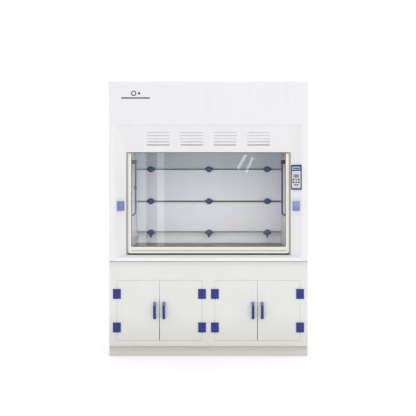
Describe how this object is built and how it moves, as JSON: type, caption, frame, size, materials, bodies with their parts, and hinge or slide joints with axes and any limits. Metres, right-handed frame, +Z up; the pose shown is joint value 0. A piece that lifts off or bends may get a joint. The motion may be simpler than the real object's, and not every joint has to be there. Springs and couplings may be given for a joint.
{
  "type": "fume hood",
  "caption": "Floor-standing walk-up fume hood of welded plastic sheet, with a counterweighted glass sash, slotted rear baffles, louvred header and a base cabinet with hinged doors.",
  "frame": {"origin": "middle of the footprint on the floor, midway between the door handles' front edges and the back", "axes": "+X to the user's right, +Y towards the back, +Z up; the sash and doors face -Y"},
  "size_m": [1.7, 0.8744, 2.42],
  "materials": {
    "white_pp": "smooth satin polypropylene sheet",
    "base_pp": "smooth satin polypropylene sheet, slightly greyer",
    "plinth_pp": "scuffed beige-grey sheet",
    "blue_pp": "moulded blue, satin",
    "dark_blue_pp": "moulded dark blue, satin",
    "socket_cover": "glossy translucent lilac blue",
    "socket_white": "glossy white moulding",
    "control_blue": "moulded dark blue housing",
    "sash_pp": "warm white sheet",
    "track_pp": "dark grey-brown channel",
    "liner_pp": "satin pale grey sheet",
    "baffle_pp": "satin light grey sheet",
    "worktop": "dark solid phenolic board",
    "sash_glass": "clear float glass",
    "weight_steel": "grey painted steel",
    "beam_steel": "brushed steel",
    "cable_steel": "stranded steel wire"
  },
  "bodies": {
    "cabinet": {"plinth": "plinth_pp", "base_cabinet": "base_pp", "left_side_panel": "white_pp", "right_side_panel": "white_pp", "back_panel": "white_pp", "roof_panel": "white_pp", "header_panel": "white_pp", "exhaust_duct": "white_pp", "left_post": "white_pp", "right_post": "white_pp", "louvre_panel": "white_pp", "front_sill": "white_pp", "chamber_liner": "liner_pp", "light_fitting": "white_pp", "lower_baffle": "baffle_pp", "middle_baffle": "baffle_pp", "upper_baffle": "baffle_pp", "worktop": "worktop", "left_service_rod": "dark_blue_pp", "right_service_rod": "dark_blue_pp", "left_sash_track": "track_pp", "right_sash_track": "track_pp", "pulley_beam": "beam_steel", "left_sash_cable": "cable_steel", "right_sash_cable": "cable_steel", "left_socket_box": "socket_white", "right_socket_box": "socket_white", "control_box": "control_blue", "door_1_hinge_1_frame_leaf": "blue_pp", "door_1_hinge_2_frame_leaf": "blue_pp", "door_2_hinge_1_frame_leaf": "blue_pp", "door_2_hinge_2_frame_leaf": "blue_pp", "door_3_hinge_1_frame_leaf": "blue_pp", "door_3_hinge_2_frame_leaf": "blue_pp", "door_4_hinge_1_frame_leaf": "blue_pp", "door_4_hinge_2_frame_leaf": "blue_pp"},
    "sash": {"sash_frame": "sash_pp", "sash_glass": "sash_glass"},
    "left_counterweight": {"left_counterweight": "weight_steel"},
    "left_pulley": {"left_pulley": "dark_blue_pp"},
    "left_socket_cover": {"left_socket_cover": "socket_cover"},
    "right_counterweight": {"right_counterweight": "weight_steel"},
    "right_pulley": {"right_pulley": "dark_blue_pp"},
    "right_socket_cover": {"right_socket_cover": "socket_cover"},
    "door_1": {"door_1": "base_pp", "door_1_handle": "blue_pp", "door_1_hinge_1_door_leaf": "blue_pp", "door_1_hinge_2_door_leaf": "blue_pp"},
    "door_2": {"door_2": "base_pp", "door_2_handle": "blue_pp", "door_2_hinge_1_door_leaf": "blue_pp", "door_2_hinge_2_door_leaf": "blue_pp"},
    "door_3": {"door_3": "base_pp", "door_3_handle": "blue_pp", "door_3_hinge_1_door_leaf": "blue_pp", "door_3_hinge_2_door_leaf": "blue_pp"},
    "door_4": {"door_4": "base_pp", "door_4_handle": "blue_pp", "door_4_hinge_1_door_leaf": "blue_pp", "door_4_hinge_2_door_leaf": "blue_pp"}
  },
  "joints": [
    {"name": "sash_slide", "type": "slide", "parent": "cabinet", "child": "sash", "axis": [0, 0, 1], "range_m": [0, 0.46], "deforming": ["left_sash_cable", "right_sash_cable"]},
    {"name": "left_counterweight_slide", "type": "slide", "parent": "cabinet", "child": "left_counterweight", "axis": [0, 0, 1], "range_m": [-0.46, 0]},
    {"name": "left_pulley_spin", "type": "hinge", "parent": "cabinet", "child": "left_pulley", "pos_m": [-0.725, -0.33385, 2.296], "axis": [0, -1, 0], "range_deg": [0, 755]},
    {"name": "right_counterweight_slide", "type": "slide", "parent": "cabinet", "child": "right_counterweight", "axis": [0, 0, 1], "range_m": [-0.46, 0]},
    {"name": "right_pulley_spin", "type": "hinge", "parent": "cabinet", "child": "right_pulley", "pos_m": [0.725, -0.33385, 2.296], "axis": [0, 1, 0], "range_deg": [0, 755]},
    {"name": "door_1_swing", "type": "hinge", "parent": "cabinet", "child": "door_1", "pos_m": [-0.784, -0.40735, 0.3911], "axis": [0, 0, -1], "range_deg": [0, 110]},
    {"name": "door_2_swing", "type": "hinge", "parent": "cabinet", "child": "door_2", "pos_m": [-0.055, -0.40735, 0.3911], "axis": [0, 0, 1], "range_deg": [0, 90]},
    {"name": "door_3_swing", "type": "hinge", "parent": "cabinet", "child": "door_3", "pos_m": [0.055, -0.40735, 0.3911], "axis": [0, 0, -1], "range_deg": [0, 90]},
    {"name": "door_4_swing", "type": "hinge", "parent": "cabinet", "child": "door_4", "pos_m": [0.784, -0.40735, 0.3911], "axis": [0, 0, 1], "range_deg": [0, 110]},
    {"name": "left_socket_cover_lift", "type": "hinge", "parent": "cabinet", "child": "left_socket_cover", "pos_m": [-0.75341, -0.40112, 1.3285], "axis": [-0.8424, -0.5388, 0], "range_deg": [0, 110]},
    {"name": "right_socket_cover_lift", "type": "hinge", "parent": "cabinet", "child": "right_socket_cover", "pos_m": [0.75341, -0.40112, 1.3285], "axis": [-0.8424, 0.5388, 0], "range_deg": [0, 110]}
  ],
  "couplings": [
    {"joint": "left_counterweight_slide", "follows": "sash_slide", "ratio": -1},
    {"joint": "left_pulley_spin", "follows": "sash_slide", "rad_per_m": 28.571},
    {"joint": "right_counterweight_slide", "follows": "sash_slide", "ratio": -1},
    {"joint": "right_pulley_spin", "follows": "sash_slide", "rad_per_m": 28.571}
  ]
}
